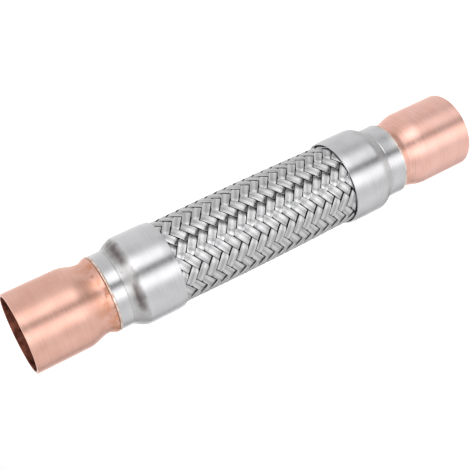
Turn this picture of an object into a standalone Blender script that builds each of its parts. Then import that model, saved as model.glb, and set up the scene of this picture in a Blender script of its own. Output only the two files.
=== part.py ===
"""Vibration eliminator for refrigeration pipework, standing on its end.

A thin corrugated steel hose carries the gas and takes up movement.  A woven steel
braid over it keeps it from stretching.  At each end a turned steel ferrule grips
the braid, and a copper end with a solder socket is brazed into the ferrule's neck.
The hose axis is +Z and the origin is the middle of the lower rim.  Both ends are
alike, so their pieces are drawn by depth from the end plane and then mirrored.
All lengths are in metres.
"""

import math

import bmesh
import bpy

OVERALL_LENGTH = 0.1950

# Clearance between two pieces that touch on the real part.
FIT_GAP = 0.00035

# Copper ends: a socket for 28 mm tube, a drawn waist, a stop bead and a spigot.
SOCKET_RADIUS = 0.0155
SOCKET_WALL = 0.00115
SOCKET_DEPTH = 0.0205
RIM_ROUNDING = 0.0002
WAIST_RADIUS = 0.01370
TAPER_LENGTH = 0.0087
BEAD_RADIUS = 0.01478
FLARE_LENGTH = 0.0030
BEAD_LAND = 0.0003
SPIGOT_RADIUS = 0.0134
SPIGOT_WALL = 0.00115
SPIGOT_LENGTH = 0.0082

# Braze ring between the copper bead and the ferrule's neck.
BRAZE_WIDTH = 0.0004
BRAZE_HEIGHT = 0.0011
BRAZE_CROWN = 0.00015

# Corrugated hose: plain cuffs at its ends, ring-shaped convolutions between them.
HOSE_CREST_RADIUS = 0.0149
HOSE_ROOT_RADIUS = 0.0122
HOSE_WALL = 0.00035
HOSE_PITCH = 0.0061
HOSE_CUFF_RADIUS = 0.0134
HOSE_CUFF_LENGTH = 0.0066

# Weld bead that closes the hose's end, and the ring that backs the braid there.
WELD_WIDTH = 0.0012
WELD_INNER_RADIUS = 0.0124
WELD_HEIGHT = 0.0020
SUPPORT_RING_LENGTH = 0.0056

# Braid sleeve: flat strands woven two over and two under in both directions.
STRANDS_EACH_WAY = 18
BRAID_PITCH = 0.00423
BRAID_BACKING = 0.00032
BRAID_RELIEF = 0.0006
BRAID_BULGE = 0.00042
BRAID_TUCK = 0.0016
STRAND_END_DROP = 0.00022

# Ferrules: a neck, a rounded shoulder and a sleeve over the braid.
NECK_WALL = 0.0010
NECK_LENGTH = 0.0052
SHOULDER_LENGTH = 0.0061
FERRULE_SLACK = 0.0007
FERRULE_WALL = 0.00065
FERRULE_LENGTH = 0.0253
RIM_ROLL_LENGTH = 0.0040

# How finely the round forms are divided.
ROUND_FACETS = 28
HIDDEN_FACETS = 20
HOSE_FACETS = 14
TAPER_STEPS = 4
FLARE_STEPS = 3
SHOULDER_STEPS = 4
ROLL_STEPS = 3

# A convolution's crest and root are flat over these shares of half a pitch.
CREST_HALF_SHARE = 0.28
ROOT_HALF_SHARE = 0.26

# A strand's raised top takes up these shares of its half length and half width.
STRAND_TOP_LENGTH_SHARE = 0.84
STRAND_TOP_WIDTH_SHARE = 0.72

# Stations, as depths from the end plane of the part.
WAIST_DEPTH = SOCKET_DEPTH + TAPER_LENGTH
BEAD_BACK_DEPTH = WAIST_DEPTH + FLARE_LENGTH + BEAD_LAND
SPIGOT_END_DEPTH = BEAD_BACK_DEPTH + SPIGOT_LENGTH
BRAZE_DEPTH = BEAD_BACK_DEPTH + FIT_GAP
NECK_FACE_DEPTH = BRAZE_DEPTH + BRAZE_WIDTH + FIT_GAP
SHOULDER_DEPTH = NECK_FACE_DEPTH + NECK_LENGTH
SLEEVE_DEPTH = SHOULDER_DEPTH + SHOULDER_LENGTH
FERRULE_RIM_DEPTH = NECK_FACE_DEPTH + FERRULE_LENGTH
WELD_DEPTH = SPIGOT_END_DEPTH + FIT_GAP
HOSE_END_DEPTH = WELD_DEPTH + WELD_WIDTH + FIT_GAP
BRAID_END_DEPTH = SLEEVE_DEPTH + FIT_GAP

# Radii that follow from what each piece fits in or over.
BRAID_BORE_RADIUS = HOSE_CREST_RADIUS + FIT_GAP
BRAID_PIT_RADIUS = BRAID_BORE_RADIUS + BRAID_BACKING
BRAID_CROWN_RADIUS = BRAID_PIT_RADIUS + BRAID_RELIEF
NECK_BORE_RADIUS = SPIGOT_RADIUS + FIT_GAP
NECK_RADIUS = NECK_BORE_RADIUS + NECK_WALL
FERRULE_BORE_RADIUS = BRAID_CROWN_RADIUS + FERRULE_SLACK
FERRULE_RADIUS = FERRULE_BORE_RADIUS + FERRULE_WALL

COPPER = (0.76, 0.40, 0.28)
BRAZE_GOLD = (0.72, 0.50, 0.26)
STEEL = (0.62, 0.62, 0.63)
BRAID_STEEL = (0.55, 0.55, 0.56)
HOSE_STEEL = (0.58, 0.58, 0.60)


def clear_scene():
    """Remove every object, so the script gives the same model each run."""
    for leftover in list(bpy.data.objects):
        bpy.data.objects.remove(leftover, do_unlink=True)


def metal(name, colour, roughness):
    """Return a metallic Principled material."""
    material = bpy.data.materials.new(name)
    material.use_nodes = True
    shader = material.node_tree.nodes["Principled BSDF"]
    shader.inputs["Base Color"].default_value = (*colour, 1.0)
    shader.inputs["Metallic"].default_value = 1.0
    shader.inputs["Roughness"].default_value = roughness
    return material


def add_object(name, shape, colour, roughness):
    """Turn a bmesh into a named, shaded object in the scene."""
    bmesh.ops.recalc_face_normals(shape, faces=shape.faces)
    mesh = bpy.data.meshes.new(name)
    shape.to_mesh(mesh)
    shape.free()
    mesh.shade_smooth()
    mesh.set_sharp_from_angle(angle=math.radians(35))
    mesh.materials.append(metal(name + "_metal", colour, roughness))
    piece = bpy.data.objects.new(name, mesh)
    bpy.context.collection.objects.link(piece)
    return piece


def turned(name, outline, facets, colour, roughness):
    """Revolve a closed outline of (radius, height) points about the hose axis."""
    shape = bmesh.new()
    corners = [shape.verts.new((radius, 0, height)) for radius, height in outline]
    loop = [shape.edges.new((corners[i - 1], corners[i])) for i in range(len(corners))]
    bmesh.ops.spin(
        shape,
        geom=corners + loop,
        cent=(0, 0, 0),
        axis=(0, 0, 1),
        angle=math.tau,
        steps=facets,
        use_merge=True,
        use_duplicate=False,
    )
    return add_object(name, shape, colour, roughness)


def from_lower_end(outline):
    """Place an outline of (radius, depth) points at the lower end."""
    return [(radius, depth) for radius, depth in outline]


def from_upper_end(outline):
    """Place an outline of (radius, depth) points at the upper end."""
    return [(radius, OVERALL_LENGTH - depth) for radius, depth in outline]


def swell(start_depth, length, low_radius, high_radius, steps):
    """Points of a quarter wave that rises from the low radius to the high one."""
    points = []
    for step in range(steps + 1):
        share = step / steps
        rise = math.sin(share * math.pi / 2)
        radius = low_radius + (high_radius - low_radius) * rise
        points.append((radius, start_depth + length * share))
    return points


def sink(start_depth, length, high_radius, low_radius, steps):
    """Points of a quarter wave that falls ever faster from high to low."""
    points = []
    for step in range(steps + 1):
        share = step / steps
        drop = 1 - math.cos(share * math.pi / 2)
        radius = high_radius - (high_radius - low_radius) * drop
        points.append((radius, start_depth + length * share))
    return points


def copper_end_outline():
    """Socket, waist, stop bead and spigot, outside first and then the bore."""
    socket_bore = SOCKET_RADIUS - SOCKET_WALL
    spigot_bore = SPIGOT_RADIUS - SPIGOT_WALL
    outside = [(SOCKET_RADIUS - RIM_ROUNDING, 0), (SOCKET_RADIUS, RIM_ROUNDING)]
    outside += sink(SOCKET_DEPTH, TAPER_LENGTH, SOCKET_RADIUS, WAIST_RADIUS, TAPER_STEPS)
    outside += swell(WAIST_DEPTH, FLARE_LENGTH, WAIST_RADIUS, BEAD_RADIUS, FLARE_STEPS)[1:]
    outside += [(BEAD_RADIUS, BEAD_BACK_DEPTH), (SPIGOT_RADIUS, BEAD_BACK_DEPTH)]
    outside += [(SPIGOT_RADIUS, SPIGOT_END_DEPTH)]
    bore = [(spigot_bore, SPIGOT_END_DEPTH)]
    taper = sink(SOCKET_DEPTH, TAPER_LENGTH, socket_bore, spigot_bore, TAPER_STEPS - 1)
    bore += list(reversed(taper))
    bore += [(socket_bore, RIM_ROUNDING), (socket_bore + RIM_ROUNDING, 0)]
    return outside + bore


def braze_ring_outline():
    """A thin ring with a rounded crown, between the bead and the neck."""
    crown = BEAD_RADIUS + BRAZE_CROWN
    inner = crown - BRAZE_HEIGHT
    middle = BRAZE_DEPTH + BRAZE_WIDTH / 2
    end = BRAZE_DEPTH + BRAZE_WIDTH
    edge = crown - BRAZE_CROWN
    return [(edge, BRAZE_DEPTH), (crown, middle), (edge, end), (inner, end), (inner, BRAZE_DEPTH)]


def ferrule_outline(rolled_rim):
    """Neck, shoulder and sleeve; a rolled rim closes in on the braid."""
    outside = [(NECK_RADIUS, NECK_FACE_DEPTH)]
    outside += swell(SHOULDER_DEPTH, SHOULDER_LENGTH, NECK_RADIUS, FERRULE_RADIUS, SHOULDER_STEPS)
    inside = swell(SHOULDER_DEPTH, SHOULDER_LENGTH, NECK_BORE_RADIUS, FERRULE_BORE_RADIUS, SHOULDER_STEPS)
    if rolled_rim:
        roll_depth = FERRULE_RIM_DEPTH - RIM_ROLL_LENGTH
        closed_bore = BRAID_CROWN_RADIUS + FIT_GAP
        roll_in = FERRULE_BORE_RADIUS - closed_bore
        outside += sink(roll_depth, RIM_ROLL_LENGTH, FERRULE_RADIUS, FERRULE_RADIUS - roll_in, ROLL_STEPS)
        inside += sink(roll_depth, RIM_ROLL_LENGTH, FERRULE_BORE_RADIUS, closed_bore, ROLL_STEPS)
    else:
        outside += [(FERRULE_RADIUS, FERRULE_RIM_DEPTH)]
        inside += [(FERRULE_BORE_RADIUS, FERRULE_RIM_DEPTH)]
    return outside + list(reversed(inside)) + [(NECK_BORE_RADIUS, NECK_FACE_DEPTH)]


def weld_outline():
    """The bead of weld that joins the hose's end to the ferrule and the braid."""
    outer = WELD_INNER_RADIUS + WELD_HEIGHT
    end = WELD_DEPTH + WELD_WIDTH
    return [(outer, WELD_DEPTH), (outer, end), (WELD_INNER_RADIUS, end), (WELD_INNER_RADIUS, WELD_DEPTH)]


def support_ring_outline():
    """The ring on the hose's cuff that the braid is pressed against."""
    outer = BRAID_BORE_RADIUS - FIT_GAP
    inner = HOSE_CUFF_RADIUS + FIT_GAP
    start = HOSE_END_DEPTH + FIT_GAP
    end = start + SUPPORT_RING_LENGTH
    return [(outer, start), (outer, end), (inner, end), (inner, start)]


def convolution_count():
    """How many whole convolutions fit between the hose's cuffs."""
    span = OVERALL_LENGTH - 2 * (HOSE_END_DEPTH + HOSE_CUFF_LENGTH)
    return max(1, round(span / HOSE_PITCH))


def hose_side(root_radius, crest_radius, cuff_radius, crest_half, root_half):
    """One side of the hose wall, from its lower end to its upper end."""
    first = HOSE_END_DEPTH + HOSE_CUFF_LENGTH
    count = convolution_count()
    pitch = (OVERALL_LENGTH - 2 * first) / count
    points = [(cuff_radius, HOSE_END_DEPTH), (cuff_radius, first - root_half)]
    points.append((root_radius, first))
    for turn in range(count):
        start = first + pitch * turn
        middle = start + pitch / 2
        points.append((root_radius, start + root_half))
        points.append((crest_radius, middle - crest_half))
        points.append((crest_radius, middle + crest_half))
        points.append((root_radius, start + pitch - root_half))
    points.append((root_radius, OVERALL_LENGTH - first))
    points.append((cuff_radius, OVERALL_LENGTH - first + root_half))
    points.append((cuff_radius, OVERALL_LENGTH - HOSE_END_DEPTH))
    return points


def hose_outline():
    """The hose wall: the outer side, and an inner side one wall away from it."""
    crest_half = CREST_HALF_SHARE * HOSE_PITCH / 2
    root_half = ROOT_HALF_SHARE * HOSE_PITCH / 2
    flank_run = HOSE_PITCH / 2 - crest_half - root_half
    flank_turn = math.atan2(HOSE_CREST_RADIUS - HOSE_ROOT_RADIUS, flank_run)
    shift = HOSE_WALL * math.tan(flank_turn / 2)
    outside = hose_side(HOSE_ROOT_RADIUS, HOSE_CREST_RADIUS, HOSE_CUFF_RADIUS, crest_half, root_half)
    inside = hose_side(
        HOSE_ROOT_RADIUS - HOSE_WALL,
        HOSE_CREST_RADIUS - HOSE_WALL,
        HOSE_CUFF_RADIUS - HOSE_WALL,
        crest_half - shift,
        root_half + shift,
    )
    return outside + list(reversed(inside))


class BraidLattice:
    """The net of points where four strands meet, and the strands' raised tops.

    Columns run round the hose, half a strand spacing apart, and rows run along it.
    A crossing sits where column plus row is even, a pit where it is odd.
    """

    def __init__(self, shape):
        self.shape = shape
        self.columns = 2 * STRANDS_EACH_WAY
        ridged = OVERALL_LENGTH - 2 * (FERRULE_RIM_DEPTH - BRAID_TUCK)
        self.rows = 2 * round(ridged / BRAID_PITCH)
        self.row_step = ridged / self.rows
        self.start = FERRULE_RIM_DEPTH - BRAID_TUCK
        self.pits = {}

    def point(self, column, row, height):
        """Add a vertex at a lattice place, raised by a height above the pits."""
        share = row / self.rows
        bulge = BRAID_BULGE * math.sin(math.pi * share)
        radius = BRAID_PIT_RADIUS + height + bulge
        angle = math.pi * column / STRANDS_EACH_WAY
        place = (radius * math.cos(angle), radius * math.sin(angle), self.start + row * self.row_step)
        return self.shape.verts.new(place)

    def pit(self, column, row):
        """Return the shared vertex where four strands meet."""
        key = (column % self.columns, row)
        if key not in self.pits:
            self.pits[key] = self.point(*key, 0)
        return self.pits[key]

    def strand(self, column, row, lean, cells):
        """Raise one strand's visible top over one or two crossings.

        It starts at the crossing (column, row) and leans one column a row.
        """
        pits = [(column - lean, row), (column, row - 1)]
        pits += [(column + lean * (k + 1), row + k) for k in range(cells)]
        pits += [(column + lean * (cells - 1), row + cells)]
        pits += [(column + lean * k, row + k + 1) for k in range(cells - 2, -1, -1)]
        middle_column = column + lean * (cells - 1) / 2
        middle_row = row + (cells - 1) / 2
        tops = []
        for pit_column, pit_row in pits:
            across = (pit_row - middle_row) - lean * (pit_column - middle_column)
            along = (pit_row - middle_row) + lean * (pit_column - middle_column)
            is_end = abs(along) > cells - 1 / 2
            along *= STRAND_TOP_LENGTH_SHARE
            across *= STRAND_TOP_WIDTH_SHARE
            top_row = middle_row + (along + across) / 2
            top_column = middle_column + lean * (along - across) / 2
            height = BRAID_RELIEF - STRAND_END_DROP if is_end else BRAID_RELIEF
            tops.append(self.point(top_column, top_row, height))
        feet = [self.pit(*place) for place in pits]
        for i in range(len(feet)):
            self.shape.faces.new((feet[i - 1], feet[i], tops[i], tops[i - 1]))
        if cells == 1:
            self.shape.faces.new(tops)
        else:
            self.shape.faces.new((tops[0], tops[1], tops[2], tops[5]))
            self.shape.faces.new((tops[5], tops[2], tops[3], tops[4]))

    def weave(self):
        """Lay every strand top, two crossings long, or one where the net ends."""
        for column in range(self.columns):
            if column % 4 not in (0, 3):
                continue
            lean = 1 if column % 4 == 0 else -1
            for row in range(self.rows):
                if (column + row) % 2:
                    continue
                if row == 0:
                    self.strand(column + lean, 1, lean, 1)
                elif row == self.rows - 1:
                    self.strand(column, row, lean, 1)
                else:
                    self.strand(column, row, lean, 2)

    def edge_loop(self, row, inward):
        """The pits that bound the net near its first or last row."""
        loop = []
        for column in range(self.columns):
            on_row = (column + row) % 2 == 1
            loop.append(self.pit(column, row if on_row else row + inward))
        return loop


def ring(shape, count, radius, height):
    """Add a ring of vertices and return it."""
    angles = [math.tau * i / count for i in range(count)]
    return [shape.verts.new((radius * math.cos(a), radius * math.sin(a), height)) for a in angles]


def bridge(shape, first, second):
    """Join two rings of as many vertices with a band of faces."""
    for i in range(len(first)):
        shape.faces.new((first[i - 1], first[i], second[i], second[i - 1]))


def braid_sleeve():
    """The woven net, with plain tails inside the ferrules and a plain bore."""
    shape = bmesh.new()
    net = BraidLattice(shape)
    net.weave()
    tail_radius = BRAID_PIT_RADIUS + BRAID_RELIEF / 2
    tail_gap = BRAID_TUCK
    upper_start = OVERALL_LENGTH - net.start
    heights = [
        (tail_radius, BRAID_END_DEPTH),
        (BRAID_BORE_RADIUS, BRAID_END_DEPTH),
        (BRAID_BORE_RADIUS, OVERALL_LENGTH - BRAID_END_DEPTH),
        (tail_radius, OVERALL_LENGTH - BRAID_END_DEPTH),
        (tail_radius, upper_start + tail_gap),
    ]
    loops = [net.edge_loop(0, 1), ring(shape, net.columns, tail_radius, net.start - tail_gap)]
    loops += [ring(shape, net.columns, radius, height) for radius, height in heights]
    loops += [net.edge_loop(net.rows, -1)]
    for first, second in zip(loops, loops[1:]):
        bridge(shape, first, second)
    return add_object("braid_sleeve", shape, BRAID_STEEL, 0.4)


def end_pieces(side, place, rolled_rim):
    """The pieces of one end of the part."""
    turned("copper_end_" + side, place(copper_end_outline()), ROUND_FACETS, COPPER, 0.3)
    turned("braze_ring_" + side, place(braze_ring_outline()), HIDDEN_FACETS, BRAZE_GOLD, 0.45)
    turned("ferrule_" + side, place(ferrule_outline(rolled_rim)), ROUND_FACETS, STEEL, 0.28)
    turned("hose_weld_" + side, place(weld_outline()), HIDDEN_FACETS, STEEL, 0.5)
    turned("support_ring_" + side, place(support_ring_outline()), HIDDEN_FACETS, STEEL, 0.4)


def build():
    """Model the whole part."""
    clear_scene()
    turned("corrugated_hose", hose_outline(), HOSE_FACETS, HOSE_STEEL, 0.35)
    braid_sleeve()
    end_pieces("lower", from_lower_end, rolled_rim=False)
    end_pieces("upper", from_upper_end, rolled_rim=True)


build()
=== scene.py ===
# %% [markdown]
# # Dressing a vibration eliminator
#
# A vibration eliminator is a short flexible joint in a refrigeration pipe. A thin corrugated hose carries the
# gas, a woven steel braid keeps the hose from stretching, a turned steel ferrule grips the braid at each end,
# and a copper end is brazed into each ferrule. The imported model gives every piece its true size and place.
# This lesson builds the fine surfaces round that model: real wires, turned metal and a small studio.

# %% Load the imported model
import math

import bpy
import numpy as np
from mathutils import Matrix, Vector


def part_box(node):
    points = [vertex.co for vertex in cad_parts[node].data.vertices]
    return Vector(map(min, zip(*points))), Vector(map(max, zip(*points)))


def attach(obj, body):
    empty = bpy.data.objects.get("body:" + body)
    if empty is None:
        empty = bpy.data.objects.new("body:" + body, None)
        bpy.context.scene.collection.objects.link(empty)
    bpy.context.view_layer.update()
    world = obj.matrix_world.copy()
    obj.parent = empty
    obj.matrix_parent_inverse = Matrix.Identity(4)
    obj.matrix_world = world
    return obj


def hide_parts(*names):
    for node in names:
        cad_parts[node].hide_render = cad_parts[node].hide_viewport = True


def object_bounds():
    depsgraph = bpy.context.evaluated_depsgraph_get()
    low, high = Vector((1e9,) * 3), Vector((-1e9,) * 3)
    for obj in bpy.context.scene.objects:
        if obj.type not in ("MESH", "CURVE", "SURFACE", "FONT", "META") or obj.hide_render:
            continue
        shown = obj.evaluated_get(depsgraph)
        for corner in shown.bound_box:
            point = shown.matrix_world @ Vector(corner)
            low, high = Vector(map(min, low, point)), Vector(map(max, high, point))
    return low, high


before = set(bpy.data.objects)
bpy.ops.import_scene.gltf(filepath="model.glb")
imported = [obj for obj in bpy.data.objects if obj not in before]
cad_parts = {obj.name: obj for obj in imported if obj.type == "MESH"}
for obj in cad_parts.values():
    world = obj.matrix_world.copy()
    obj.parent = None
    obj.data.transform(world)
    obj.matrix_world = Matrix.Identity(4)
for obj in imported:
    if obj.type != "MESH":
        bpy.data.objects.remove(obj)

cad_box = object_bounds()
print("packed model, lowest and highest corner:", cad_box)

# %% [markdown]
# ## Sizes read from the frame
#
# Nothing is fitted afterwards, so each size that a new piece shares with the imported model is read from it.
# Both ends of the part are alike. Everything on them is drawn by its depth from the end plane, and a small
# function turns a depth into a height for the lower end or the upper end.

# %% Read the main sizes
MM = 0.001


def high(node):
    """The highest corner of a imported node."""
    return Vector(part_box(node)[1])


def low(node):
    """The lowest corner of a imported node."""
    return Vector(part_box(node)[0])


overall_length = cad_box[1][2]
socket_radius = high("copper_end_lower").x
spigot_end = high("copper_end_lower").z
ferrule_radius = high("ferrule_lower").x
neck_face = low("ferrule_lower").z
ferrule_rim = high("ferrule_lower").z
hose_end = low("corrugated_hose").z
hose_crest_radius = high("corrugated_hose").x
braze_radius = high("braze_ring_lower").x
braze_low = low("braze_ring_lower").z
braze_high = high("braze_ring_lower").z
print("overall length in mm:", round(overall_length / MM, 2))
print("ferrule from", round(neck_face / MM, 2), "to", round(ferrule_rim / MM, 2), "mm")


def lower_end(depth):
    """Height of a place that lies so deep from the lower rim."""
    return depth


def upper_end(depth):
    """Height of a place that lies so deep from the upper rim."""
    return overall_length - depth


# %% [markdown]
# ## The camera
#
# The photograph looks at the part from the side and a little from its open end, and the part lies across the
# picture with that end at the lower left. Here the part stands on its other end, so the camera is rolled
# instead. Its distance and lens come from how much the far rim shrinks against the near one.

# %% Place the camera
CAMERA_LENS_MM = 70.83
CAMERA_DISTANCE = 0.33297
CAMERA_HEIGHT = 0.22982
AIM_SIDE_STEP = -0.0016
AIM_HEIGHT = 0.10578
CAMERA_ROLL = math.radians(-115.75)
CAMERA_TURN = math.radians(-13.0)

turn = Matrix.Rotation(CAMERA_TURN, 4, "Z")
camera_place = turn @ Vector((0, -CAMERA_DISTANCE, CAMERA_HEIGHT))
aim = turn @ Vector((AIM_SIDE_STEP, 0, AIM_HEIGHT))
look = (aim - camera_place).to_track_quat("-Z", "Y").to_matrix().to_4x4()
bpy.ops.object.camera_add()
camera = bpy.context.object
camera.name = "camera"
camera.matrix_world = Matrix.Translation(camera_place) @ look @ Matrix.Rotation(CAMERA_ROLL, 4, "Z")
camera.data.lens = CAMERA_LENS_MM
camera.data.clip_start = 1 * MM
bpy.context.scene.camera = camera
print("camera stands at", [round(c, 4) for c in camera_place])

# %% [markdown]
# ## Wiring nodes
#
# The studio and the metals are both made of shader nodes, which could be wired one by one in the Shader
# Editor. A few helpers keep that wiring short here. Each takes its owner, a material or the world, adds what
# it needs there, and returns an output that goes straight into the next node.

# %% Node helpers
def new_node(owner, kind, **settings):
    """Add a node to a material or the world, with its settings."""
    node = owner.node_tree.nodes.new(kind)
    for setting, value in settings.items():
        setattr(node, setting, value)
    return node


def link(owner, output, socket):
    """Lead an output into an input."""
    owner.node_tree.links.new(output, socket)


def compute(owner, operation, *values):
    """Do one sum with outputs and plain numbers."""
    node = new_node(owner, "ShaderNodeMath", operation=operation)
    for socket, value in zip(node.inputs, values):
        if isinstance(value, (int, float)):
            socket.default_value = value
        else:
            link(owner, value, socket)
    return node.outputs["Value"]


def span(owner, value, reads, gives=(0, 1)):
    """Stretch a value from the range it is read in to the range it gives, and clamp it."""
    node = new_node(owner, "ShaderNodeMapRange")
    for socket, level in zip(("From Min", "From Max", "To Min", "To Max"), (*reads, *gives)):
        node.inputs[socket].default_value = level
    link(owner, value, node.inputs["Value"])
    return node.outputs["Result"]


print("node helpers ready")

# %% [markdown]
# ## The studio
#
# Metal shows its surroundings more than its own colour. The photograph was lit by two long soft lamps beside
# the camera with a dark slit between them, and pale walls all round. That is painted into the world as
# upright bands of light, by compass direction. Below the horizon the light also changes with height: a dark
# gap under the left lamp, and the bright cores of both lamps, which the tapers and the strands pick up. The
# camera itself sees plain white.
#
# In each list a stop is a direction in degrees from the camera and the level of light there.

# %% Read the sky by direction and height
world = bpy.context.scene.world or bpy.data.worlds.new("studio")
bpy.context.scene.world = world
world.use_nodes = True
world.node_tree.nodes.clear()

direction = new_node(world, "ShaderNodeTexCoord").outputs["Generated"]
facing = new_node(world, "ShaderNodeMapping", vector_type="TEXTURE")
facing.inputs["Rotation"].default_value = (0, 0, CAMERA_TURN - math.radians(90))
link(world, direction, facing.inputs["Vector"])
compass = new_node(world, "ShaderNodeTexGradient", gradient_type="RADIAL")
link(world, facing.outputs["Vector"], compass.inputs["Vector"])
parts = new_node(world, "ShaderNodeSeparateXYZ")
link(world, direction, parts.inputs["Vector"])
sky_height = parts.outputs["Z"]


def sky_ramp(levels):
    """A colour ramp that is read by compass direction."""
    ramp = new_node(world, "ShaderNodeValToRGB")
    stops = ramp.color_ramp.elements
    for index, (degrees, level) in enumerate(sorted(levels, reverse=True)):
        place = 0.5 - degrees / 360
        stop = stops[index] if index < 2 else stops.new(place)
        stop.position = place
        stop.color = (level, level, level, 1)
    link(world, compass.outputs["Fac"], ramp.inputs["Fac"])
    return ramp.outputs["Color"]


def sky_patch(levels, heights, strength):
    """A factor for the light: the strength inside a patch of sky, and one outside it."""
    inside = compute(world, "MULTIPLY", span(world, sky_height, reads=heights), sky_ramp(levels))
    return span(world, inside, reads=(0, 1), gives=(1, strength))


print("the compass starts at the camera, turned by", round(math.degrees(CAMERA_TURN), 1), "degrees")

# %% Paint the bands of light
STUDIO_BANDS = [
    (-180, 1.00), (-160, 1.20), (-140, 0.95), (-110, 0.86), (-78, 0.84), (-60, 0.80),
    (-50, 1.20), (-40, 1.60), (-19, 1.70), (-13, 0.10), (-3, 0.07), (4, 1.05),
    (12, 1.50), (30, 1.50), (42, 0.92), (54, 0.80), (76, 0.98), (100, 0.96),
    (122, 0.80), (135, 0.30), (146, 0.95), (162, 1.30), (180, 1.00),
]
LOW_GAP = [(-86, 0.0), (-66, 1.0), (-24, 1.0), (-12, 0.0)]
LOW_GAP_HEIGHTS = (math.sin(math.radians(-30)), math.sin(math.radians(-36)))
LOW_GAP_LEVEL = 0.02
LAMP_CORES = [(-52, 0.0), (-40, 1.0), (-20, 1.0), (-12, 0.0), (2, 0.0), (11, 1.0), (30, 1.0), (42, 0.0)]
LAMP_CORE_HEIGHTS = (math.sin(math.radians(-26)), math.sin(math.radians(-8)))
LAMP_CORE_LEVEL = 1.35

gap = sky_patch(LOW_GAP, LOW_GAP_HEIGHTS, LOW_GAP_LEVEL)
cores = sky_patch(LAMP_CORES, LAMP_CORE_HEIGHTS, LAMP_CORE_LEVEL)
lit = new_node(world, "ShaderNodeBackground")
link(world, sky_ramp(STUDIO_BANDS), lit.inputs["Color"])
link(world, compute(world, "MULTIPLY", cores, gap), lit.inputs["Strength"])
plain = new_node(world, "ShaderNodeBackground")
plain.inputs["Color"].default_value = (1, 1, 1, 1)
seen = new_node(world, "ShaderNodeLightPath")
choose = new_node(world, "ShaderNodeMixShader")
link(world, seen.outputs["Is Camera Ray"], choose.inputs["Fac"])
link(world, lit.outputs["Background"], choose.inputs[1])
link(world, plain.outputs["Background"], choose.inputs[2])
output = new_node(world, "ShaderNodeOutputWorld")
link(world, choose.outputs["Shader"], output.inputs["Surface"])
bpy.context.scene.view_settings.view_transform = "Standard"
print("studio bands:", len(STUDIO_BANDS))

# %% [markdown]
# ## The floor
#
# The photograph has no floor to be seen, only white. A real studio lays white paper under the part, which
# throws soft light up at it. The paper here is a plane that does the same. It glows a little to the camera
# alone, so that it stays white in the picture, and the metal doesn't mirror it.

# %% Lay the floor
FLOOR_SIZE = 6.0
FLOOR_WHITE = 0.9
FLOOR_ROUGHNESS = 0.9
FLOOR_GLOW = 0.4

bpy.ops.object.select_all(action="DESELECT")
bpy.ops.mesh.primitive_plane_add(size=FLOOR_SIZE)
floor = bpy.context.object
floor.name = "studio_floor"
floor.visible_glossy = False
paper = bpy.data.materials.new("white_paper_floor")
paper.use_nodes = True
sheet = paper.node_tree.nodes["Principled BSDF"]
sheet.inputs["Base Color"].default_value = (FLOOR_WHITE, FLOOR_WHITE, FLOOR_WHITE, 1)
sheet.inputs["Roughness"].default_value = FLOOR_ROUGHNESS
sheet.inputs["Specular IOR Level"].default_value = 0.0
sheet.inputs["Emission Color"].default_value = (1, 1, 1, 1)
to_camera = new_node(paper, "ShaderNodeLightPath").outputs["Is Camera Ray"]
link(paper, compute(paper, "MULTIPLY", to_camera, FLOOR_GLOW), sheet.inputs["Emission Strength"])
floor.data.materials.append(paper)
print("floor laid, white paper")

# %% [markdown]
# ## Turning a piece on the lathe
#
# Ferrules and pipe ends are turned or drawn round one axis, so each one is half a section spun round it. The
# section is drawn as by hand: one vertex is put down and extruded from point to point, the loop is closed,
# and the Spin tool carries it round. Waves and quarter waves give the soft swells of drawn metal.

# %% Swells of drawn metal
SHOULDER_EASE = 1.2


def shoulder_rise(share):
    """Rise steeply at first and level off, like a drawn shoulder."""
    return math.sin(share * math.pi / 2) ** SHOULDER_EASE


def rolled_fall(share):
    """Leave level and turn ever faster, like a rolled rim."""
    return 1 - math.cos(share * math.pi / 2)


def drawn_taper(share):
    """Leave level and arrive level, like a drawn taper."""
    return (1 - math.cos(share * math.pi)) / 2


def swell(shape, depth, length, start_radius, end_radius, steps):
    """Points along a length, whose radius goes from start to end by the shape."""
    shares = [i / steps for i in range(steps + 1)]
    change = end_radius - start_radius
    return [(start_radius + change * shape(share), depth + length * share) for share in shares]


print("half way up, a shoulder has risen by", round(shoulder_rise(0.5), 2))

# %% Lathe helpers
ROUND_STEPS = 128
WELD_DISTANCE = 0.000002
SMOOTH_BELOW = 30


def finish_mesh(piece, angle=SMOOTH_BELOW):
    """Merge what meets, turn the faces outwards and shade smooth below an angle in degrees."""
    bpy.ops.object.mode_set(mode="EDIT")
    bpy.ops.mesh.select_all(action="SELECT")
    bpy.ops.mesh.remove_doubles(threshold=WELD_DISTANCE)
    bpy.ops.mesh.normals_make_consistent(inside=False)
    bpy.ops.object.mode_set(mode="OBJECT")
    bpy.ops.object.transform_apply(location=True, rotation=True, scale=True)
    bpy.ops.object.shade_smooth_by_angle(angle=math.radians(angle))
    print(piece.name, "has", len(piece.data.polygons), "faces")


def draw_section(name, points):
    """Put down one vertex and extrude it along (radius, height) points."""
    bpy.ops.object.select_all(action="DESELECT")
    bpy.ops.mesh.primitive_plane_add(size=MM, location=(points[0][0], 0, points[0][1]))
    piece = bpy.context.object
    piece.name = name
    bpy.ops.object.mode_set(mode="EDIT")
    bpy.ops.mesh.select_mode(type="VERT")
    bpy.ops.mesh.merge(type="CENTER")
    for here, there in zip(points, points[1:]):
        step = (there[0] - here[0], 0, there[1] - here[1])
        bpy.ops.mesh.extrude_vertices_move(TRANSFORM_OT_translate={"value": step})
    bpy.ops.mesh.select_all(action="SELECT")
    return piece


def spin_round(steps):
    """Spin what is selected once round the hose axis."""
    bpy.ops.mesh.spin(steps=steps, angle=math.tau, center=(0, 0, 0), axis=(0, 0, 1))


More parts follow.
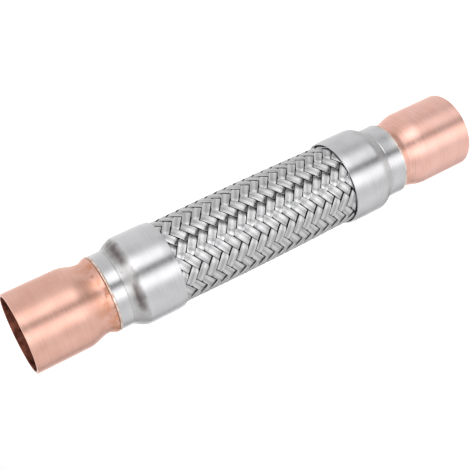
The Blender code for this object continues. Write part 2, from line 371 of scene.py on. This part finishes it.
def lathe(name, points, angle=SMOOTH_BELOW):
    """Turn a piece from its closed section."""
    piece = draw_section(name, points + points[:1])
    bpy.ops.mesh.remove_doubles(threshold=WELD_DISTANCE)
    bpy.ops.mesh.select_all(action="SELECT")
    spin_round(ROUND_STEPS)
    finish_mesh(piece, angle)
    return piece


print("the lathe takes", ROUND_STEPS, "steps round")

# %% [markdown]
# ## Metal finishes
#
# The copper and the ferrules were brushed or turned on a lathe, so fine scratches run round the axis. They
# make a highlight long along the part and narrow across it. The Principled shader does that with its
# anisotropy, once a Tangent node tells it which way round is. Noise that is squeezed along the axis draws the
# scratches.
#
# Where a metal's roughness is led in from a texture later, that takes the place of the one it starts with.

# %% Start a metal
ALONG_THE_AXIS = 0.25


def start_metal(name, roughness, anisotropy=0.0):
    """A metallic material. Anisotropy draws its highlight out along the hose axis."""
    metal = bpy.data.materials.new(name)
    metal.use_nodes = True
    shader = metal.node_tree.nodes["Principled BSDF"]
    shader.inputs["Metallic"].default_value = 1.0
    shader.inputs["Roughness"].default_value = roughness
    shader.inputs["Anisotropic"].default_value = anisotropy
    shader.inputs["Anisotropic Rotation"].default_value = ALONG_THE_AXIS
    if anisotropy:
        tangent = new_node(metal, "ShaderNodeTangent", direction_type="RADIAL", axis="Z")
        link(metal, tangent.outputs["Tangent"], shader.inputs["Tangent"])
    return metal


def set_input(metal, socket, value):
    """Lead a value into one of the shader's sockets."""
    link(metal, value, metal.node_tree.nodes["Principled BSDF"].inputs[socket])


print("a metal starts with its highlight turned by", 360 * ALONG_THE_AXIS, "degrees")

# %% Noise, colour and relief
def surface_point(metal):
    """Where a point of the surface lies, in the piece's own space."""
    return new_node(metal, "ShaderNodeTexCoord").outputs["Object"]


def noise(metal, scale, detail, squeeze=1):
    """A noise texture, squeezed along the axis."""
    squeezed = new_node(metal, "ShaderNodeMapping")
    squeezed.inputs["Scale"].default_value = (1, 1, squeeze)
    link(metal, surface_point(metal), squeezed.inputs["Vector"])
    texture = new_node(metal, "ShaderNodeTexNoise")
    texture.inputs["Scale"].default_value = scale
    texture.inputs["Detail"].default_value = detail
    link(metal, squeezed.outputs["Vector"], texture.inputs["Vector"])
    return texture.outputs["Fac"]


def mixed_colour(metal, share, first, second):
    """Blend two colours, each one a tuple or an output, by a share."""
    node = new_node(metal, "ShaderNodeMix", data_type="RGBA")
    link(metal, share, node.inputs[0])
    ends = [socket for socket in node.inputs if socket.type == "RGBA"]
    for socket, colour in zip(ends, (first, second)):
        if isinstance(colour, tuple):
            socket.default_value = (*colour, 1)
        else:
            link(metal, colour, socket)
    return [socket for socket in node.outputs if socket.type == "RGBA"][0]


def near_height(metal, height, reach):
    """One at a height, falling to nothing at a reach above and below it."""
    parts = new_node(metal, "ShaderNodeSeparateXYZ")
    link(metal, surface_point(metal), parts.inputs["Vector"])
    offset = compute(metal, "SUBTRACT", parts.outputs["Z"], height)
    return span(metal, compute(metal, "ABSOLUTE", offset), reads=(0, reach), gives=(1, 0))


def add_bump(metal, texture, depth):
    """Raise the surface by a texture, to a real depth in metres."""
    bump = new_node(metal, "ShaderNodeBump")
    bump.inputs["Distance"].default_value = depth
    link(metal, texture, bump.inputs["Height"])
    set_input(metal, "Normal", bump.outputs["Normal"])


def clouded_metal(name, roughness, scale, detail, reads, colours):
    """A plain metal with soft clouds of two colours."""
    metal = start_metal(name, roughness)
    share = span(metal, noise(metal, scale, detail), reads=reads)
    set_input(metal, "Base Color", mixed_colour(metal, share, *colours))
    return metal


print("noise, colour and relief ready")

# %% [markdown]
# ## Copper
#
# The copper is bright and pinkish, lightly brushed round, with cloudy orange patches where the torch heated
# it near the joint. The inside of the socket was never polished, so it has a dark red skin of oxide.

# %% Brushed copper
COPPER_PINK = (0.81, 0.475, 0.385)
COPPER_PALE = (0.88, 0.545, 0.45)
COPPER_PINK_FAR = (0.93, 0.565, 0.475)
COPPER_PALE_FAR = (0.97, 0.625, 0.545)
COPPER_HEATED = (0.72, 0.34, 0.21)
COPPER_SCRATCH = (0.55, 0.26, 0.19)
COPPER_SPECK = (0.36, 0.15, 0.09)
COPPER_OXIDE = (0.14, 0.042, 0.028)
COPPER_OXIDE_LIGHT = (0.38, 0.135, 0.09)
COPPER_SCRATCH_SHARE = 0.20
COPPER_BRUSH_DEPTH = 0.00002
HEAT_REACH = 0.009
SPECK_REACH = 0.0065
SPECK_SHARE = 0.8
RING_LINE_REACH = 0.00016
RING_LINE_SHARE = 0.45


def copper_metal(name, joint_height, pink, pale, heat_share, ring_lines):
    """Brushed copper, tinted by heat round one height, with fine rolled lines."""
    copper = start_metal(name, roughness=0.46, anisotropy=0.7)
    clouds = span(copper, noise(copper, scale=140, detail=4), reads=(0.35, 0.65))
    colour = mixed_colour(copper, clouds, pink, pale)
    patches = span(copper, noise(copper, scale=210, detail=5), reads=(0.42, 0.58), gives=(0, heat_share))
    heat = compute(copper, "MULTIPLY", patches, near_height(copper, joint_height, HEAT_REACH))
    colour = mixed_colour(copper, heat, colour, COPPER_HEATED)
    brush = noise(copper, scale=60, detail=8, squeeze=36)
    scratches = span(copper, brush, reads=(0.36, 0.60), gives=(COPPER_SCRATCH_SHARE, 0))
    colour = mixed_colour(copper, scratches, colour, COPPER_SCRATCH)
    dots = noise(copper, scale=620, detail=4)
    dots = span(copper, dots, reads=(0.58, 0.70), gives=(0, SPECK_SHARE * heat_share))
    specks = compute(copper, "MULTIPLY", dots, near_height(copper, joint_height, SPECK_REACH))
    colour = mixed_colour(copper, specks, colour, COPPER_SPECK)
    for line_height in ring_lines:
        line = near_height(copper, line_height, RING_LINE_REACH)
        line = span(copper, line, reads=(0, 1), gives=(0, RING_LINE_SHARE))
        colour = mixed_colour(copper, line, colour, COPPER_SPECK)
    set_input(copper, "Base Color", colour)
    set_input(copper, "Roughness", span(copper, brush, reads=(0.35, 0.65), gives=(0.38, 0.50)))
    add_bump(copper, brush, COPPER_BRUSH_DEPTH)
    return copper


print("copper is tinted up to", round(HEAT_REACH / MM, 2), "mm from a joint")

# %% The oxide skin inside
oxide = clouded_metal(
    "copper_oxide_inside",
    roughness=0.45,
    scale=260,
    detail=5,
    reads=(0.4, 0.62),
    colours=(COPPER_OXIDE, COPPER_OXIDE_LIGHT),
)
add_bump(oxide, noise(oxide, scale=70, detail=4, squeeze=60), COPPER_BRUSH_DEPTH)
print("made", oxide.name)

# %% [markdown]
# ## The copper ends
#
# Each end is one drawn tube. From its rim it runs straight as a socket, pulls in to a waist, and flares out
# again to a stop bead that sits against the ferrule. Behind the bead a spigot goes into the ferrule's neck.
# The far end keeps two faint lines where the waist was rolled. Its copper is paler, and the torch tinted it
# less, so each end has a copper of its own.

# %% Draw the section of a copper end
SOCKET_WALL = 0.00115
SOCKET_DEPTH = 0.0205
WAIST_RADIUS = 0.01370
TAPER_LENGTH = 0.0087
FLARE_LENGTH = 0.0030
BEAD_LAND = 0.0003
BEAD_RADIUS = 0.01478
FAR_BEAD_RADIUS = 0.01435
BEAD_ROUNDING = 0.0002
SPIGOT_RADIUS = 0.0134
WAIST_DEPTH = SOCKET_DEPTH + TAPER_LENGTH
RIM_STEPS = 6
RIM_FLATNESS = 0.35
TAPER_STEPS = 12
FLARE_STEPS = 7
BORE_STEPS = 8


def copper_section(end, bead_radius):
    """The section of a copper end: rounded rim, outside, spigot and bore."""
    bore = socket_radius - SOCKET_WALL
    spigot_bore = SPIGOT_RADIUS - SOCKET_WALL
    middle = (socket_radius + bore) / 2
    rounding = SOCKET_WALL / 2
    turns = [math.pi * i / RIM_STEPS for i in range(RIM_STEPS + 1)]
    rim = [
        (middle - rounding * math.cos(turn), rounding * RIM_FLATNESS * (1 - math.sin(turn)))
        for turn in turns
    ]
    outside = swell(drawn_taper, SOCKET_DEPTH, TAPER_LENGTH, socket_radius, WAIST_RADIUS, TAPER_STEPS)
    outside += swell(drawn_taper, WAIST_DEPTH, FLARE_LENGTH, WAIST_RADIUS, bead_radius, FLARE_STEPS)[1:]
    back = WAIST_DEPTH + FLARE_LENGTH + BEAD_LAND
    outside += [(bead_radius, back - BEAD_ROUNDING), (bead_radius - BEAD_ROUNDING, back)]
    outside += [(SPIGOT_RADIUS, back), (SPIGOT_RADIUS, spigot_end)]
    inside = swell(drawn_taper, SOCKET_DEPTH, TAPER_LENGTH, bore, spigot_bore, BORE_STEPS)
    section = rim + outside + [(spigot_bore, spigot_end)] + inside[::-1]
    return [(radius, end(depth)) for radius, depth in section]


print("waist in mm, depth and width:", round(WAIST_DEPTH / MM, 2), round(2 * WAIST_RADIUS / MM, 2))

# %% Turn the copper ends
LOOKS_INWARD = -0.3
HEAT_SHARE = 1.0
FAR_HEAT_SHARE = 0.35
FAR_RING_DEPTHS = (0.0272, 0.0282)


def darken_inside(piece, radius, metal, inside_metal):
    """Give the faces that look at the axis the oxidised finish."""
    piece.data.materials.append(metal)
    piece.data.materials.append(inside_metal)
    for face in piece.data.polygons:
        outward = Vector((face.center.x, face.center.y, 0)).normalized()
        if face.normal.dot(outward) < LOOKS_INWARD and Vector(face.center[:2]).length < radius:
            face.material_index = 1


far_rings = [lower_end(depth) for depth in FAR_RING_DEPTHS]

for side, end, bead_radius, pink, pale, heat_share, rings in (
    ("lower", lower_end, FAR_BEAD_RADIUS, COPPER_PINK_FAR, COPPER_PALE_FAR, FAR_HEAT_SHARE, far_rings),
    ("upper", upper_end, BEAD_RADIUS, COPPER_PINK, COPPER_PALE, HEAT_SHARE, []),
):
    tube = lathe("drawn_copper_" + side, copper_section(end, bead_radius))
    joint_height = end(WAIST_DEPTH + FLARE_LENGTH)
    metal = copper_metal("brushed_copper_" + side, joint_height, pink, pale, heat_share, rings)
    darken_inside(tube, socket_radius - SOCKET_WALL / 2, metal, oxide)
    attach(tube, "root")
    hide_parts("copper_end_" + side)

# %% [markdown]
# ## The braze
#
# Molten braze ran round the joint and froze as a thin golden fillet, never quite even. A torus is laid in
# the joint and its surface is pushed about a little by a cloud texture. It is a little wider than the packed
# ring, so it fills the joint. At the far end it lies nearer the rim, where that ferrule's neck starts.

# %% Frozen braze
BRAZE_GOLD = (0.66, 0.46, 0.36)
BRAZE_PALE = (0.84, 0.75, 0.69)
BRAZE_GRAIN_DEPTH = 0.00005

gold = clouded_metal(
    "frozen_braze",
    roughness=0.42,
    scale=420,
    detail=4,
    reads=(0.4, 0.6),
    colours=(BRAZE_GOLD, BRAZE_PALE),
)
add_bump(gold, noise(gold, scale=900, detail=3), BRAZE_GRAIN_DEPTH)
print("made", gold.name)

# %% Lay the braze fillets
FILLET_OVERLAP = 0.00032
FILLET_HALF_WIDTH = (braze_high - braze_low) / 2 + FILLET_OVERLAP
FILLET_HALF_HEIGHT = 0.00040
FILLET_LEAN = 0.00004
FAR_FILLET_LEAN = -0.00045
FAR_FILLET_SINK = 0.00010
LUMP_SIZE = 0.004
LUMP_HEIGHT = 0.00022
LUMP_MIDDLE = 0.55

lumps = bpy.data.textures.new("braze_lumps", "CLOUDS")
lumps.noise_scale = LUMP_SIZE

for side, end, lean, sink in (
    ("lower", lower_end, FAR_FILLET_LEAN, FAR_FILLET_SINK),
    ("upper", upper_end, FILLET_LEAN, 0),
):
    bpy.ops.object.select_all(action="DESELECT")
    bpy.ops.mesh.primitive_torus_add(
        major_segments=160,
        minor_segments=12,
        major_radius=braze_radius - FILLET_HALF_HEIGHT - sink,
        minor_radius=FILLET_HALF_HEIGHT,
        location=(0, 0, end((braze_low + braze_high) / 2 + lean)),
    )
    fillet = bpy.context.object
    fillet.name = "braze_fillet_" + side
    fillet.scale.z = FILLET_HALF_WIDTH / FILLET_HALF_HEIGHT
    bpy.ops.object.transform_apply(location=True, rotation=True, scale=True)
    uneven = fillet.modifiers.new("uneven", "DISPLACE")
    uneven.texture = lumps
    uneven.texture_coords = "LOCAL"
    uneven.strength = LUMP_HEIGHT
    uneven.mid_level = LUMP_MIDDLE
    bpy.ops.object.modifier_apply(modifier=uneven.name)
    finish_mesh(fillet, angle=60)
    fillet.data.materials.append(gold)
    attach(fillet, "root")
    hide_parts("braze_ring_" + side)

# %% [markdown]
# ## Stainless steel
#
# The ferrules are turned stainless steel, finely brushed. Welding left a faint brown tint round each
# shoulder, with a few darker heat marks on it. They are strongest on the end that was welded last. A mark is
# the product of two falls, one round the axis and one along it, and noise makes its edge uneven.
#
# Each heat mark is given by its angle round the axis and how far it spreads, in degrees.

# %% Place the heat marks
HEAT_MARKS = [(304, 32), (233, 27), (120, 38)]
FAR_HEAT_MARKS = [(60, 34), (180, 38)]
MARK_RADIUS = 0.0163
MARK_CORE_SHARE = 0.25


def heat_mark(metal, angle, spread, shoulder):
    """One at a point on the shoulder, falling to nothing round it."""
    toward = new_node(metal, "ShaderNodeVectorMath", operation="DOT_PRODUCT")
    toward.inputs[1].default_value = (math.cos(math.radians(angle)), math.sin(math.radians(angle)), 0)
    link(metal, surface_point(metal), toward.inputs[0])
    outer = MARK_RADIUS * math.cos(math.radians(spread))
    inner = MARK_RADIUS * math.cos(math.radians(spread * MARK_CORE_SHARE))
    around = span(metal, toward.outputs["Value"], reads=(outer, inner))
    return compute(metal, "MULTIPLY", around, shoulder)


print("heat marks:", len(HEAT_MARKS), "near,", len(FAR_HEAT_MARKS), "far")

# %% Brushed steel
STEEL_BRIGHT = (0.72, 0.72, 0.735)
STEEL_DULL = (0.64, 0.64, 0.65)
STEEL_SCRATCH = (0.38, 0.38, 0.39)
STEEL_MARK = (0.17, 0.145, 0.14)
STEEL_TINT = (0.46, 0.43, 0.41)
STEEL_SCRATCH_SHARE = 0.18
STEEL_BRUSH_DEPTH = 0.000018
TINT_SHARE = 0.45
MARK_REACH = 0.0034
MARK_UNEVENNESS = 0.9
MARK_DULLNESS = 0.16


def ferrule_metal(name, mark_height, marks, strength):
    """Brushed stainless steel with heat marks round one height."""
    steel = start_metal(name, roughness=0.38, anisotropy=0.8)
    clouds = span(steel, noise(steel, scale=120, detail=4), reads=(0.35, 0.65))
    colour = mixed_colour(steel, clouds, STEEL_BRIGHT, STEEL_DULL)
    shoulder = near_height(steel, mark_height, MARK_REACH)
    tint = span(steel, shoulder, reads=(0, 0.6), gives=(0, TINT_SHARE * strength))
    colour = mixed_colour(steel, tint, colour, STEEL_TINT)
    window = span(steel, shoulder, reads=(0, 0.3))
    patches = noise(steel, scale=300, detail=10)
    for angle, spread in marks:
        mark = heat_mark(steel, angle, spread, shoulder)
        mark = compute(steel, "MULTIPLY_ADD", patches, -MARK_UNEVENNESS, mark)
        mark = span(steel, mark, reads=(-0.36, 0.34), gives=(0, strength))
        colour = mixed_colour(steel, compute(steel, "MULTIPLY", mark, window), colour, STEEL_MARK)
    brush = noise(steel, scale=60, detail=8, squeeze=40)
    scratches = span(steel, brush, reads=(0.36, 0.60), gives=(STEEL_SCRATCH_SHARE, 0))
    colour = mixed_colour(steel, scratches, colour, STEEL_SCRATCH)
    set_input(steel, "Base Color", colour)
    roughness = span(steel, brush, reads=(0.35, 0.65), gives=(0.32, 0.44))
    set_input(steel, "Roughness", compute(steel, "MULTIPLY_ADD", shoulder, MARK_DULLNESS, roughness))
    add_bump(steel, brush, STEEL_BRUSH_DEPTH)
    return steel


print("a mark fades out", round(MARK_REACH / MM, 2), "mm above and below its height")

# %% [markdown]
# ## The ferrules
#
# A ferrule has a short neck for the copper, a rounded shoulder and a sleeve over the braid. A fine lip and
# groove mark where the neck ends. On the near end the sleeve's rim was rolled in until it touched the braid.
# On the far end it is barely drawn in, so a bright edge and a dark gap show there. The two shoulders weren't
# turned quite alike, so each has its own lengths.

# %% Draw the section of a ferrule
NECK_RADIUS = 0.01475
NECK_BORE = 0.01375
LIP_START = 0.0006
LIP_TOP = 0.0003
LIP_HEIGHT = 0.00006
GROOVE_DEPTH = 0.00012
GROOVE_WIDTH = 0.0002
FERRULE_WALL = 0.00065
ROLL_LENGTH = 0.0040
EDGE = 0.00015
SHOULDER_STEPS = 14
ROLL_STEPS = 8
INSIDE_STEPS = 6


def ferrule_section(end, overlap, neck_length, shoulder_length, roll_in):
    """Outside from neck to rim, then the inside back to the neck."""
    start = neck_face + neck_length
    face = neck_face - overlap
    roll = ferrule_rim - ROLL_LENGTH
    roll_length = ROLL_LENGTH - EDGE
    bore = ferrule_radius - FERRULE_WALL
    outside = [
        (NECK_RADIUS - EDGE, face),
        (NECK_RADIUS, face + EDGE),
        (NECK_RADIUS, start - LIP_START),
        (NECK_RADIUS + LIP_HEIGHT, start - LIP_TOP),
        (NECK_RADIUS - GROOVE_DEPTH, start),
    ]
    rise = start + GROOVE_WIDTH
    outside += swell(shoulder_rise, rise, shoulder_length, NECK_RADIUS, ferrule_radius, SHOULDER_STEPS)
    outside += swell(rolled_fall, roll, roll_length, ferrule_radius, ferrule_radius - roll_in, ROLL_STEPS)
    outside += [(ferrule_radius - roll_in - EDGE, ferrule_rim)]
    inside = swell(shoulder_rise, start, shoulder_length, NECK_BORE, bore, INSIDE_STEPS)
    inside += swell(rolled_fall, roll, roll_length, bore, bore - roll_in, INSIDE_STEPS)
    inside += [(bore - roll_in + EDGE, ferrule_rim)]
    section = outside + inside[::-1] + [(NECK_BORE, face)]
    return [(radius, end(depth)) for radius, depth in section]


print("ferrule in mm, sleeve and neck:", round(2 * ferrule_radius / MM, 2), round(2 * NECK_RADIUS / MM, 2))

# %% Turn the ferrules
NECK_OVERLAP = 0.00035
NECK_LENGTH = 0.0047
SHOULDER_LENGTH = 0.0066
ROLL_IN = 0.00035
FAR_NECK_OVERLAP = 0.00105
FAR_NECK_LENGTH = 0.0058
FAR_SHOULDER_LENGTH = 0.0055
FAR_ROLL_IN = 0.00022
MARK_DEPTH = 0.0026
MARK_STRENGTH = 0.92
FAR_MARK_STRENGTH = 0.5
FERRULE_SMOOTH_BELOW = 22

far_shape = (FAR_NECK_OVERLAP, FAR_NECK_LENGTH, FAR_SHOULDER_LENGTH, FAR_ROLL_IN)
near_shape = (NECK_OVERLAP, NECK_LENGTH, SHOULDER_LENGTH, ROLL_IN)
far_neck_end = neck_face + FAR_NECK_LENGTH
near_neck_end = neck_face + NECK_LENGTH

for side, end, shape, neck_end, marks, strength in (
    ("lower", lower_end, far_shape, far_neck_end, FAR_HEAT_MARKS, FAR_MARK_STRENGTH),
    ("upper", upper_end, near_shape, near_neck_end, HEAT_MARKS, MARK_STRENGTH),
):
    ferrule = lathe("turned_ferrule_" + side, ferrule_section(end, *shape), angle=FERRULE_SMOOTH_BELOW)
    steel = ferrule_metal("brushed_steel_" + side, end(neck_end + MARK_DEPTH), marks, strength)
    ferrule.data.materials.append(steel)
    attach(ferrule, "root")
    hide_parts("ferrule_" + side)

# %% [markdown]
# ## The braid
#
# The braid is woven from flat strands of thin wires laid side by side, as many strands leaning one way as
# the other. Each strand runs over two and under two of the others. An image of a weave would stay flat at
# the part's outline, so the strands are modelled. One straight strand is modelled flat: a section of eight
# grooved wires is drawn, filled and extruded in short steps, one step for each row of vertices along it.

# %% Lay out the net
STRANDS_EACH_WAY = 18
BRAID_PITCH = 0.00423
BRAID_TUCK = 0.0016
CROWN_RADIUS = 0.01628
WIRES_IN_STRAND = 8
STRAND_FILL = 0.92

net_start = ferrule_rim - BRAID_TUCK
net_length = overall_length - 2 * net_start
net_rows = 2 * round(net_length / BRAID_PITCH)
row_step = net_length / net_rows
crown_circle = math.tau * CROWN_RADIUS
lead_angle = math.atan2(crown_circle / STRANDS_EACH_WAY / 2, row_step)
lane_width = crown_circle / STRANDS_EACH_WAY * math.cos(lead_angle)
wire_radius = lane_width * STRAND_FILL / WIRES_IN_STRAND / 2
print("strands lie at", round(math.degrees(lead_angle), 1), "degrees; wire", round(2 * wire_radius / MM, 3))

# %% Model one flat strand
WIRE_ARC = [150, 110, 70, 30]
WIRE_SPREAD = 1.1
WIRE_FLATNESS = 0.55
STRAND_BACK_SHARE = 0.3
STRAND_SEGMENTS = 160
HIDDEN_ROWS = 1.5

strand_length = (net_rows + 2 * HIDDEN_ROWS) * MM
segment_length = strand_length / STRAND_SEGMENTS


def strand_section():
    """The grooved outline of wires side by side, with a flat back."""
    outline = []
    for wire in range(WIRES_IN_STRAND):
        middle = (2 * wire + 1 - WIRES_IN_STRAND) * wire_radius
        for angle in map(math.radians, WIRE_ARC):
            across = middle + wire_radius * WIRE_SPREAD * math.cos(angle)
            outline.append((across, wire_radius * WIRE_FLATNESS * math.sin(angle)))
    half_width = WIRES_IN_STRAND * wire_radius
    back = -STRAND_BACK_SHARE * wire_radius
    return outline + [(half_width, back), (-half_width, back)]


outline = strand_section()
flat_strand = draw_section("flat_strand", outline + outline[:1])
bpy.ops.mesh.remove_doubles(threshold=WELD_DISTANCE)
bpy.ops.mesh.select_all(action="SELECT")
bpy.ops.mesh.edge_face_add()
for _ in range(STRAND_SEGMENTS):
    bpy.ops.mesh.extrude_region_move(TRANSFORM_OT_translate={"value": (0, segment_length, 0)})
bpy.ops.mesh.select_all(action="SELECT")
bpy.ops.transform.translate(value=(0, -strand_length / 2, 0))
bpy.ops.object.mode_set(mode="OBJECT")
bpy.ops.object.transform_apply(location=True, rotation=True, scale=True)
print("one strand has", len(flat_strand.data.polygons), "faces")

# %% [markdown]
# ## Weaving
#
# A copy of the flat strand is laid round the hose for each of the real ones, by moving its vertices. On the
# flat strand, one millimetre of length stands for one row of the net.
#
# The net has two kinds of line. Along strand number k, n counts the crossings it meets. Across it, v says
# where a wire lies in its own lane. Columns count half lanes round the hose and rows count half pitches along
# it, and a strand leaning s has column s(n - k - v) and row n + k + v.
#
# Two values are stored on each point for the material. The lift is high where a strand lies on top, and low
# where it dives under, at its edges and in the corners of a crossing. The material paints shade where it is
# low.
# The tone makes some wires brighter than others.

# %% Lay a strand round the hose
WAVE_HEIGHT = 0.00044
WAVE_SHARPNESS = 2.6
BULGE = 0.00042
LEFT_RISE = 0.00010
TWIST = 0.00004
TWIST_PER_CROSSING = 0.9
TWIST_PER_STRAND = 2.4
EDGE_SHADE = 1.1
EDGE_SHARPNESS = 14
CORNER_SHADE = 1.6
CORNER_SHARPNESS = 6
TONE_PER_STRAND = 1.3
TONE_PER_CROSSING = 0.7
TONE_PER_LEAN = 2.0
TONE_PER_LANE = 9.0


def store(piece, name, values):
    """Keep one value for each point of a piece."""
    piece.data.attributes.new(name, "FLOAT", "POINT").data.foreach_set("value", values)


def lay_strand(flat, number, lean):
    """Bend a flat strand round the hose, over two and under two."""
    points = np.empty(len(flat.data.vertices) * 3)
    flat.data.vertices.foreach_get("co", points)
    points = points.reshape(-1, 3)
    lane = points[:, 0] / lane_width
    row = points[:, 1] / MM + net_rows / 2
    n = row - number - lane
    column = lean * (n - number - lane)
    swing = np.cos((lean * (n - number) - 0.5) * math.pi / 2) * lean
    swing = np.tanh(WAVE_SHARPNESS * swing) / math.tanh(WAVE_SHARPNESS)
    bulge = BULGE * np.sin(np.pi * np.clip(row / net_rows, 0, 1))
    twist = TWIST * lane * np.sin(TWIST_PER_CROSSING * n + TWIST_PER_STRAND * number + lean)
    middle = CROWN_RADIUS - WAVE_HEIGHT - wire_radius * WIRE_FLATNESS - LEFT_RISE * (1 + lean) / 2
    radius = middle + bulge + swing * WAVE_HEIGHT + twist + points[:, 2]
    angle = column * math.pi / STRANDS_EACH_WAY
    laid = np.stack([radius * np.cos(angle), radius * np.sin(angle), net_start + row * row_step], axis=1)
    strand = bpy.data.objects.new(flat.name + str(number), flat.data.copy())
    bpy.context.collection.objects.link(strand)
    strand.data.vertices.foreach_set("co", laid.reshape(-1))
    edge = np.abs(lane) / (STRAND_FILL / 2)
    corner = edge**CORNER_SHARPNESS * (1 - swing**2) ** 2
    store(strand, "lift", swing - EDGE_SHADE * edge**EDGE_SHARPNESS - CORNER_SHADE * corner)
    tone = TONE_PER_STRAND * number + TONE_PER_CROSSING * n + TONE_PER_LEAN * lean + TONE_PER_LANE * lane
    store(strand, "tone", 0.5 + 0.5 * np.sin(tone))
    return strand


print("a strand waves in and out by", round(WAVE_HEIGHT / MM, 2), "mm")

# %% Wire steel
WIRE_BRIGHT = (0.64, 0.64, 0.645)
WIRE_DULL = (0.44, 0.44, 0.45)
WIRE_PAINTED_SHADE = (0.016, 0.015, 0.015)


def stored(metal, name):
    """A value that was stored on the mesh, point by point."""
    return new_node(metal, "ShaderNodeAttribute", attribute_name=name).outputs["Fac"]


wire_steel = start_metal("braid_wire_steel", roughness=0.24)
wire_colour = mixed_colour(wire_steel, stored(wire_steel, "tone"), WIRE_DULL, WIRE_BRIGHT)
# Painted shade: the wire goes near black where the lift is low, under crossings, at edges and in corners.
unshaded_share = span(wire_steel, stored(wire_steel, "lift"), reads=(-0.66, -0.02))
set_input(wire_steel, "Base Color", mixed_colour(wire_steel, unshaded_share, WIRE_PAINTED_SHADE, wire_colour))
wear = noise(wire_steel, scale=500, detail=3)
set_input(wire_steel, "Roughness", span(wire_steel, wear, reads=(0.3, 0.7), gives=(0.14, 0.24)))

print("made", wire_steel.name)

# %% Weave the braid
for name, lean in (("braid_strands_right", 1), ("braid_strands_left", -1)):
    strands = [lay_strand(flat_strand, k, lean) for k in range(STRANDS_EACH_WAY)]
    bpy.ops.object.select_all(action="DESELECT")
    for strand in strands:
        strand.select_set(True)
    bpy.context.view_layer.objects.active = strands[0]
    bpy.ops.object.join()
    braid = bpy.context.object
    braid.name = name
    finish_mesh(braid, angle=80)
    braid.data.materials.append(wire_steel)
    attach(braid, "root")
    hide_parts("braid_sleeve")
bpy.data.objects.remove(flat_strand, do_unlink=True)

# %% [markdown]
# ## The hose
#
# Through the open mouth, and as dark glints between the strands, the corrugated hose shows. One convolution
# is drawn and spun, an array repeats it along the hose, and a Solidify modifier gives the strip its wall.

# %% Draw one convolution
HOSE_ROOT_RADIUS = 0.0122
HOSE_CUFF_LENGTH = 0.0066
HOSE_PITCH = 0.0061
CONVOLUTION_POINTS = 14
CONVOLUTION_SHARPNESS = 1.6

first_root = hose_end + HOSE_CUFF_LENGTH
hose_span = overall_length - 2 * first_root
convolutions = round(hose_span / HOSE_PITCH)
real_pitch = hose_span / convolutions


def convolution_point(share):
    """A point of one convolution, from root to crest and back."""
    wave = -math.cos(math.tau * share)
    wave = math.tanh(CONVOLUTION_SHARPNESS * wave) / math.tanh(CONVOLUTION_SHARPNESS)
    middle = (hose_crest_radius + HOSE_ROOT_RADIUS) / 2
    return (middle + wave * (hose_crest_radius - HOSE_ROOT_RADIUS) / 2, first_root + real_pitch * share)


convolution = [convolution_point(i / CONVOLUTION_POINTS) for i in range(CONVOLUTION_POINTS + 1)]
hose = draw_section("corrugated_hose_wall", convolution)
print("the hose has", convolutions, "convolutions,", round(real_pitch / MM, 2), "mm apart")

# %% Form the hose
HOSE_STEPS = 64
HOSE_WALL = 0.00030
SEAM_REACH = 0.00002

spin_round(HOSE_STEPS)
bpy.ops.object.mode_set(mode="OBJECT")
bpy.ops.object.transform_apply(location=True, rotation=True, scale=True)
repeat = hose.modifiers.new("repeat", "ARRAY")
repeat.count = convolutions
repeat.use_relative_offset = False
repeat.use_constant_offset = True
repeat.constant_offset_displace = (0, 0, real_pitch)
repeat.use_merge_vertices = True
repeat.merge_threshold = SEAM_REACH
bpy.ops.object.modifier_apply(modifier=repeat.name)
finish_mesh(hose, angle=60)
wall = hose.modifiers.new("wall", "SOLIDIFY")
wall.thickness = HOSE_WALL
wall.offset = -1
bpy.ops.object.modifier_apply(modifier=wall.name)
print("with its wall,", hose.name, "has", len(hose.data.polygons), "faces")

# %% Finish the hose
# The hose steel is painted dark grey, a painted shade for the dark it lies in under the braid.
HOSE_SHADED_GREY = (0.22, 0.22, 0.22)
HOSE_SHADE = (0.12, 0.115, 0.11)

strip_steel = clouded_metal(
    "hose_strip_steel",
    roughness=0.35,
    scale=200,
    detail=4,
    reads=(0.35, 0.65),
    colours=(HOSE_SHADED_GREY, HOSE_SHADE),
)
hose.data.materials.append(strip_steel)
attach(hose, "root")
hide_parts("corrugated_hose")
print("made", strip_steel.name)

# %% [markdown]
# ## Rings and welds
#
# A support ring and a weld bead sit under each ferrule. Nothing of them shows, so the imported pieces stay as
# they are and only get a plain steel.

# %% Finish the rings and welds that stay hidden
RING_GREY = (0.6, 0.6, 0.6)
RING_TINT = (0.45, 0.42, 0.40)

ring_steel = clouded_metal(
    "ring_steel",
    roughness=0.4,
    scale=250,
    detail=4,
    reads=(0.35, 0.65),
    colours=(RING_GREY, RING_TINT),
)
for name in ("support_ring_lower", "support_ring_upper", "hose_weld_lower", "hose_weld_upper"):
    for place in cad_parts[name].material_slots:
        place.material = ring_steel
print("rings and welds in", ring_steel.name)
